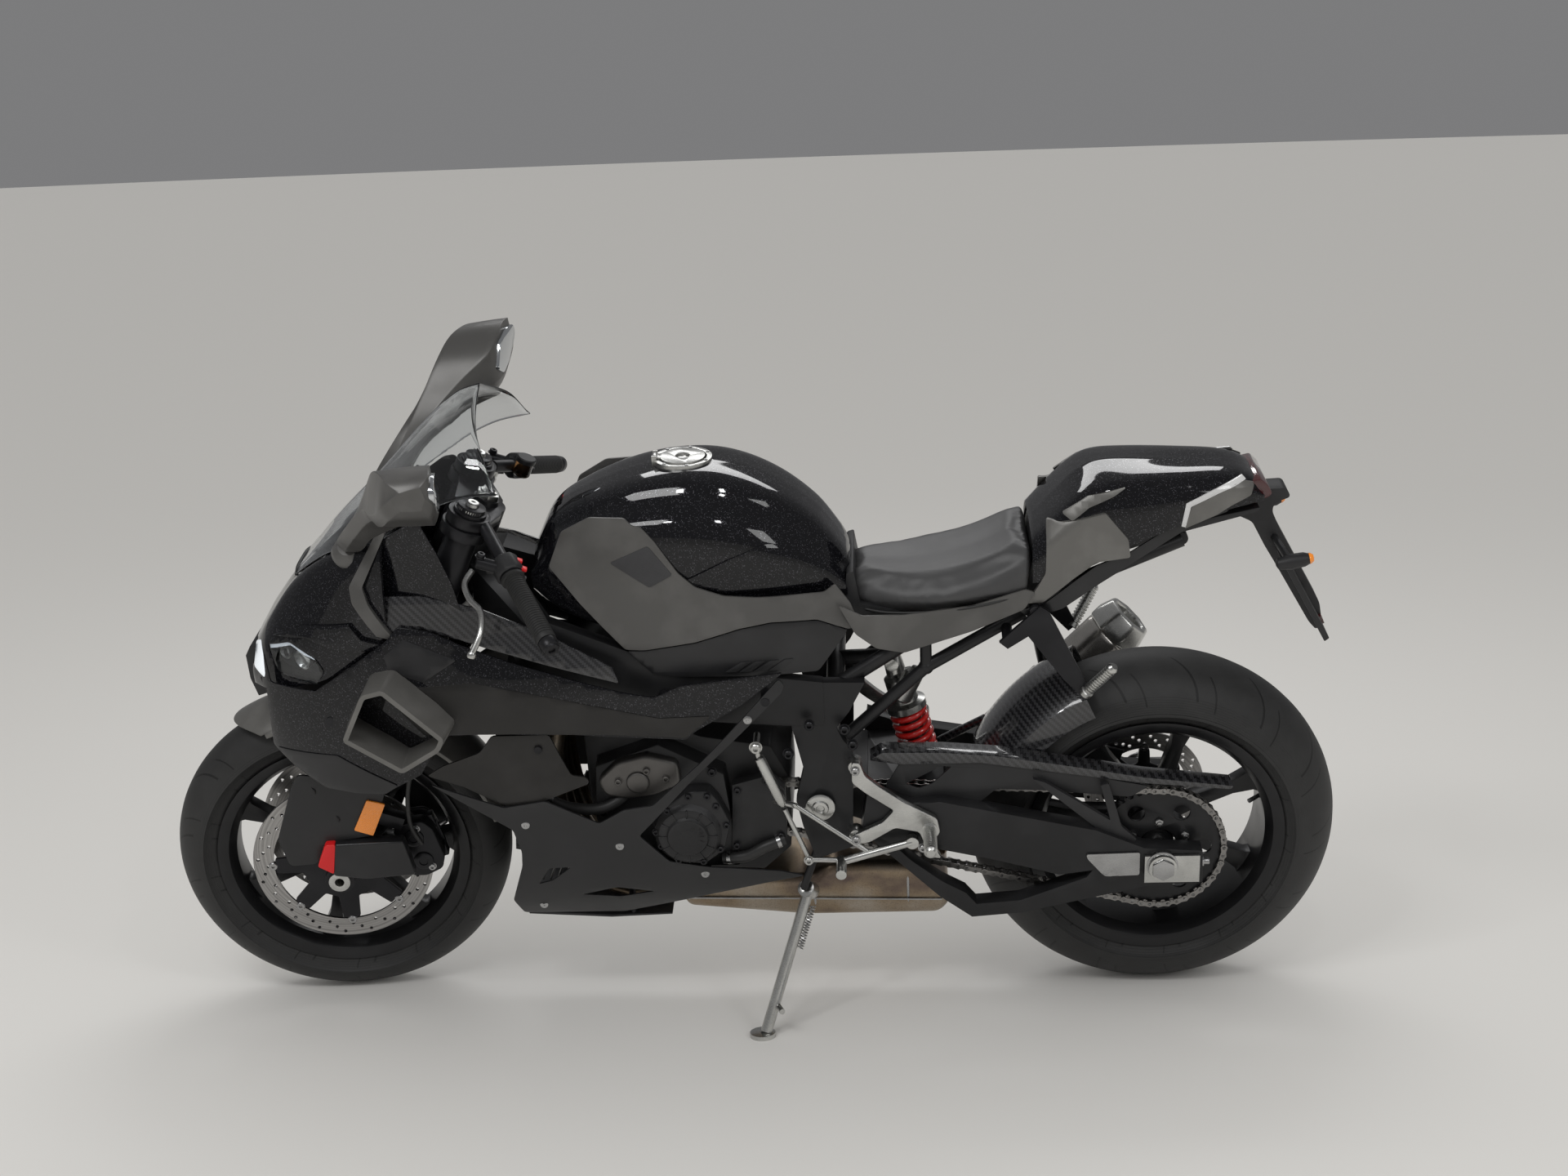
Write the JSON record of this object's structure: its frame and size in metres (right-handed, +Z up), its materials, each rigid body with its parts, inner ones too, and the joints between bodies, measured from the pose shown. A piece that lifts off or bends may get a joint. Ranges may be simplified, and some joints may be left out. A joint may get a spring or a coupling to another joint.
{
  "type": "sport motorcycle",
  "caption": "Fully faired sport motorcycle parked on its side stand, with turning wheels and bars, a folding stand and a hinged filler lid.",
  "frame": {"origin": "on the floor under the middle of the parked bike's box", "axes": "+X to the rear, -X is the front wheel, +Y to the bike's right, +Z up"},
  "size_m": [2.0753, 0.8487, 1.2156],
  "materials": {
    "frame_black": "satin cast aluminium, black",
    "engine_metal": "cast and coated",
    "cooler_black": "black core",
    "hot_steel": "heat tinted",
    "silencer_steel": "brushed",
    "gloss_black": "metallic black paint",
    "tank_paint": "metallic black paint",
    "satin_grey": "satin dark grey",
    "matte_black": "matte black",
    "carbon": "woven fibre under lacquer",
    "small_black": "black anodised",
    "bright_metal": "brushed",
    "lid_black": "satin",
    "seat_cover": "smooth cover over foam",
    "tail_lens": "dark red lens",
    "lamp_lens": "clear lens",
    "screen": "clear screen",
    "shock_red": "red spring",
    "chain_steel": "oiled steel",
    "grip_rubber": "ribbed",
    "reservoir": "translucent",
    "rim_black": "satin black",
    "tyre": "road tyre",
    "disc_steel": "ground"
  },
  "bodies": {
    "body": {"steering_head": "frame_black", "main_frame": "frame_black", "frame_bars": "frame_black", "subframe": "frame_black", "engine_block": "engine_metal", "engine_covers": "engine_metal", "radiator": "cooler_black", "exhaust_pipes": "hot_steel", "collector": "hot_steel", "silencer": "silencer_steel", "fuel_tank": "tank_paint", "tank_sides": "satin_grey", "filler_ring": "bright_metal", "seat": "seat_cover", "tail_cowl": "gloss_black", "tail_sides": "satin_grey", "tail_light": "tail_lens", "plate_holder": "matte_black", "nose_cowl": "gloss_black", "air_intake": "matte_black", "headlamps": "lamp_lens", "windscreen": "screen", "dash": "matte_black", "mirrors": "satin_grey", "side_fairings": "gloss_black", "winglets": "satin_grey", "mid_fairings": "satin_grey", "belly_pan": "matte_black", "cockpit_panels": "carbon", "fairing_stays": "small_black", "swingarm": "frame_black", "rear_axle": "bright_metal", "shock": "shock_red", "chain": "chain_steel", "chain_guard": "carbon", "hugger": "carbon", "rear_caliper": "small_black", "peg_hangers": "bright_metal", "foot_pegs": "bright_metal", "foot_controls": "bright_metal"},
    "steering": {"yokes": "small_black", "fork_tubes": "small_black", "fork_lowers": "small_black", "front_axle": "bright_metal", "handlebars": "small_black", "grips": "grip_rubber", "levers": "bright_metal", "brake_reservoir": "reservoir", "front_fender": "satin_grey", "front_calipers": "small_black"},
    "front_wheel": {"front_rim": "rim_black", "front_tyre": "tyre", "front_discs": "disc_steel"},
    "rear_wheel": {"rear_rim": "rim_black", "rear_tyre": "tyre", "rear_disc": "disc_steel", "sprocket": "rim_black"},
    "side_stand": {"side_stand": "bright_metal"},
    "fuel_cap": {"fuel_lid": "lid_black"}
  },
  "joints": [
    {"name": "steering", "type": "hinge", "parent": "body", "child": "steering", "pos_m": [-0.46376, 0.05238, 0.84456], "axis": [0.4003, -0.1811, 0.8983], "range_deg": [-25.5, 12.5]},
    {"name": "front_wheel_spin", "type": "hinge", "parent": "steering", "child": "front_wheel", "pos_m": [-0.73925, 0.16017, 0.29393], "axis": [-0.1037, 0.965, 0.2408], "continuous": true},
    {"name": "rear_wheel_spin", "type": "hinge", "parent": "body", "child": "rear_wheel", "pos_m": [0.71641, 0.15872, 0.31718], "axis": [0, 0.9803, 0.1977], "continuous": true},
    {"name": "side_stand_fold", "type": "hinge", "parent": "body", "child": "side_stand", "pos_m": [0.10524, 0.0353, 0.23108], "axis": [-0.3364, -0.8171, 0.4682], "range_deg": [0, 105.9]},
    {"name": "fuel_lid_hinge", "type": "hinge", "parent": "body", "child": "fuel_cap", "pos_m": [-0.12876, 0.01878, 1.01121], "axis": [0, -0.9803, -0.1977], "range_deg": [0, 95]}
  ]
}
